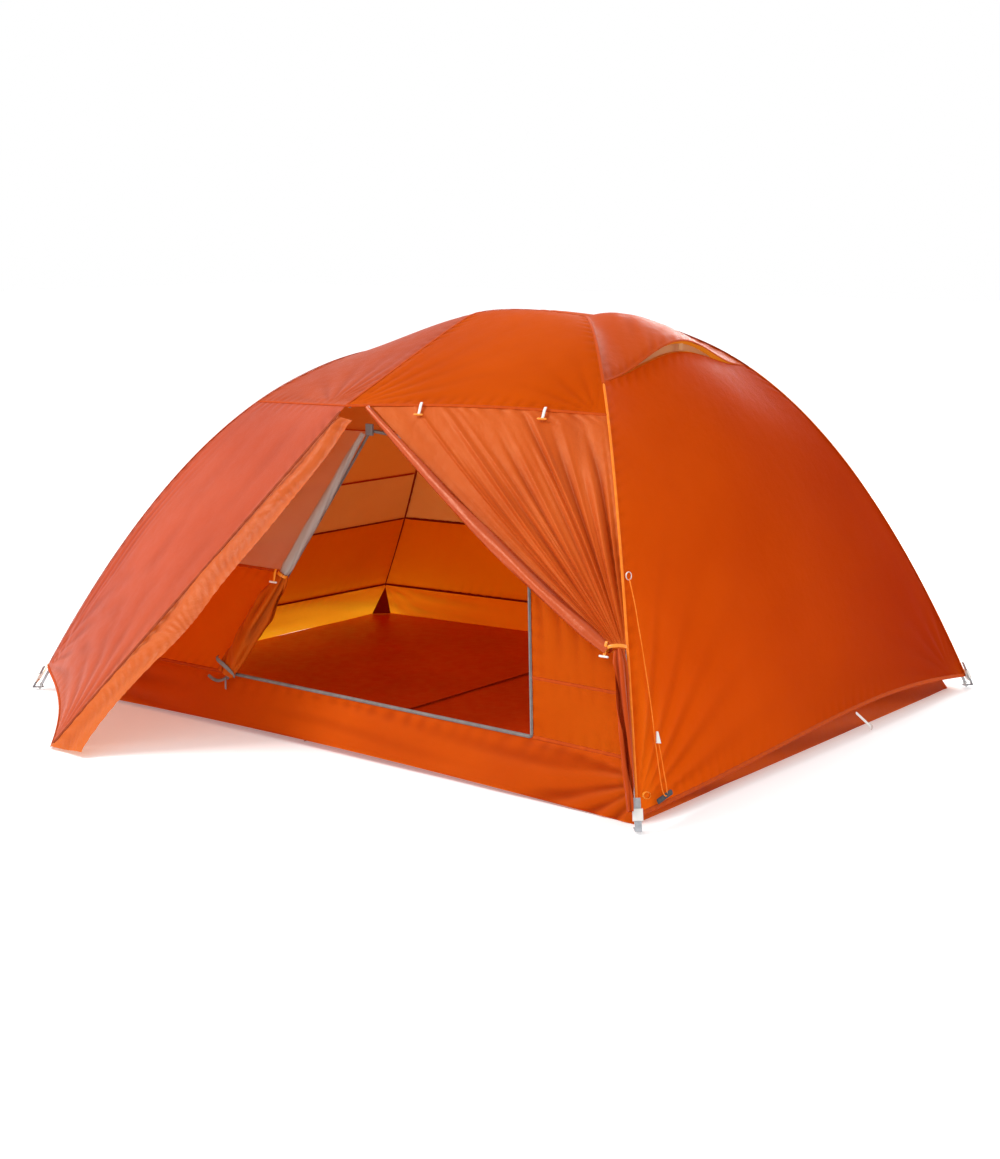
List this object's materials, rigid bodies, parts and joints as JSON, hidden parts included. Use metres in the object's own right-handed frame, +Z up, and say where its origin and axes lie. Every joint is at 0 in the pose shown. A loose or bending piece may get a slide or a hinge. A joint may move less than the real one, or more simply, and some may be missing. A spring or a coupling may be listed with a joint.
{
  "type": "two-door dome tent",
  "caption": "Freestanding dome tent on hubbed alloy poles: rainfly with an open gathered door, inner tent with bathtub floor, corner buckles and guyline.",
  "frame": {"origin": "on the ground, on the underside of the floor, midway between its corners", "axes": "+Z up, +X along the tent towards the head end, -Y towards the open front door"},
  "size_m": [2.4179, 2.6449, 1.2191],
  "materials": {
    "fly_foot_cloth": "satin",
    "fly_brow_cloth": "satin",
    "fly_head_cloth": "satin",
    "flap_cloth": "satin",
    "inner_cloth": "matte",
    "mesh_cloth": "matte",
    "floor_cloth": "satin",
    "tub_cloth": "satin",
    "pole_alloy": "satin",
    "tip_alloy": "satin",
    "grey_plastic": "matte",
    "white_plastic": "satin",
    "toggle_webbing": "matte",
    "grey_webbing": "matte",
    "cord_orange": "matte",
    "tan_stiffener": "matte"
  },
  "bodies": {
    "tent": {"leg_pole_head_front": "pole_alloy", "leg_pole_head_rear": "pole_alloy", "leg_pole_foot_front": "pole_alloy", "leg_pole_foot_rear": "pole_alloy", "ridge_pole_foot": "pole_alloy", "ridge_pole_head": "pole_alloy", "brow_pole_front": "pole_alloy", "brow_pole_rear": "pole_alloy", "brow_swivel": "grey_plastic", "hub_head": "grey_plastic", "hub_foot": "grey_plastic", "pole_tip_head_front": "tip_alloy", "corner_strap_head_front": "grey_webbing", "pole_tip_head_rear": "tip_alloy", "corner_strap_head_rear": "grey_webbing", "pole_tip_foot_front": "tip_alloy", "corner_strap_foot_front": "grey_webbing", "pole_tip_foot_rear": "tip_alloy", "corner_strap_foot_rear": "grey_webbing", "fly_brow_front": "fly_brow_cloth", "fly_roof_front": "fly_foot_cloth", "fly_brow_rear": "fly_brow_cloth", "fly_roof_rear": "fly_foot_cloth", "fly_head_end": "fly_head_cloth", "fly_foot_end": "fly_foot_cloth", "vestibule_panel_front": "fly_foot_cloth", "vestibule_panel_rear": "fly_foot_cloth", "storm_flap_front": "flap_cloth", "fly_door_front": "fly_brow_cloth", "fly_door_tail_front": "fly_head_cloth", "fly_door_rear": "fly_brow_cloth", "vent_hood": "fly_brow_cloth", "vent_mesh": "mesh_cloth", "floor_sheet": "floor_cloth", "tub_wall_front": "tub_cloth", "tub_wall_rear": "tub_cloth", "tub_wall_foot": "tub_cloth", "tub_wall_head": "tub_cloth", "inner_wall_front_foot": "inner_cloth", "inner_wall_front_head": "inner_cloth", "inner_roof_front": "inner_cloth", "inner_wall_rear": "inner_cloth", "inner_roof_rear": "inner_cloth", "inner_wall_head": "inner_cloth", "inner_wall_foot": "inner_cloth", "inner_door_roll": "mesh_cloth", "zip_slider": "grey_plastic", "apex_clip": "grey_plastic", "guyline": "cord_orange"},
    "corner_buckle_head_front": {"corner_buckle_head_front": "white_plastic"},
    "corner_buckle_head_rear": {"corner_buckle_head_rear": "white_plastic"},
    "corner_buckle_foot_front": {"corner_buckle_foot_front": "white_plastic"},
    "corner_buckle_foot_rear": {"corner_buckle_foot_rear": "white_plastic"},
    "vent_strut": {"vent_strut": "tan_stiffener"},
    "brow_toggle_foot": {"brow_toggle_foot": "toggle_webbing"},
    "brow_toggle_head": {"brow_toggle_head": "toggle_webbing"},
    "door_tie_toggle": {"door_tie_toggle": "toggle_webbing"},
    "roll_toggle": {"roll_toggle": "toggle_webbing"},
    "zip_pull": {"zip_pull": "grey_plastic"},
    "guyline_tensioner": {"guyline_tensioner": "white_plastic"}
  },
  "joints": [
    {"name": "buckle_slide_head_front", "type": "slide", "parent": "tent", "child": "corner_buckle_head_front", "axis": [-0.287, 0.3244, 0.9013], "range_m": [-0.018, 0.022]},
    {"name": "buckle_slide_head_rear", "type": "slide", "parent": "tent", "child": "corner_buckle_head_rear", "axis": [-0.287, -0.3244, 0.9013], "range_m": [-0.018, 0.022]},
    {"name": "buckle_slide_foot_front", "type": "slide", "parent": "tent", "child": "corner_buckle_foot_front", "axis": [0.476, 0.1766, 0.8615], "range_m": [-0.018, 0.022]},
    {"name": "buckle_slide_foot_rear", "type": "slide", "parent": "tent", "child": "corner_buckle_foot_rear", "axis": [0.476, -0.1766, 0.8615], "range_m": [-0.018, 0.022]},
    {"name": "vent_strut_fold", "type": "hinge", "parent": "tent", "child": "vent_strut", "pos_m": [0.68677, 0, 1.11714], "axis": [0, 1, 0], "range_deg": [0, 105]},
    {"name": "brow_toggle_foot_swing", "type": "hinge", "parent": "tent", "child": "brow_toggle_foot", "pos_m": [0.19805, -0.59222, 0.9783], "axis": [0.1734, -0.7922, 0.5851], "range_deg": [-45, 45]},
    {"name": "brow_toggle_head_swing", "type": "hinge", "parent": "tent", "child": "brow_toggle_head", "pos_m": [0.57278, -0.51361, 0.98002], "axis": [0.1459, -0.7368, 0.6601], "range_deg": [-45, 45]},
    {"name": "door_tie_toggle_swing", "type": "hinge", "parent": "tent", "child": "door_tie_toggle", "pos_m": [1.00521, -0.84791, 0.43396], "axis": [0, -0.9397, 0.342], "range_deg": [-45, 45]},
    {"name": "roll_toggle_swing", "type": "hinge", "parent": "tent", "child": "roll_toggle", "pos_m": [-0.22468, -0.75509, 0.47866], "axis": [0, -0.9397, 0.342], "range_deg": [-45, 45]},
    {"name": "zip_pull_swing", "type": "hinge", "parent": "tent", "child": "zip_pull", "pos_m": [-0.386, -0.81093, 0.142], "axis": [-1, 0, 0], "range_deg": [0, 100]},
    {"name": "tensioner_slide", "type": "slide", "parent": "tent", "child": "guyline_tensioner", "axis": [-0.3271, 0.2638, 0.9074], "range_m": [-0.03, 0.03]}
  ]
}
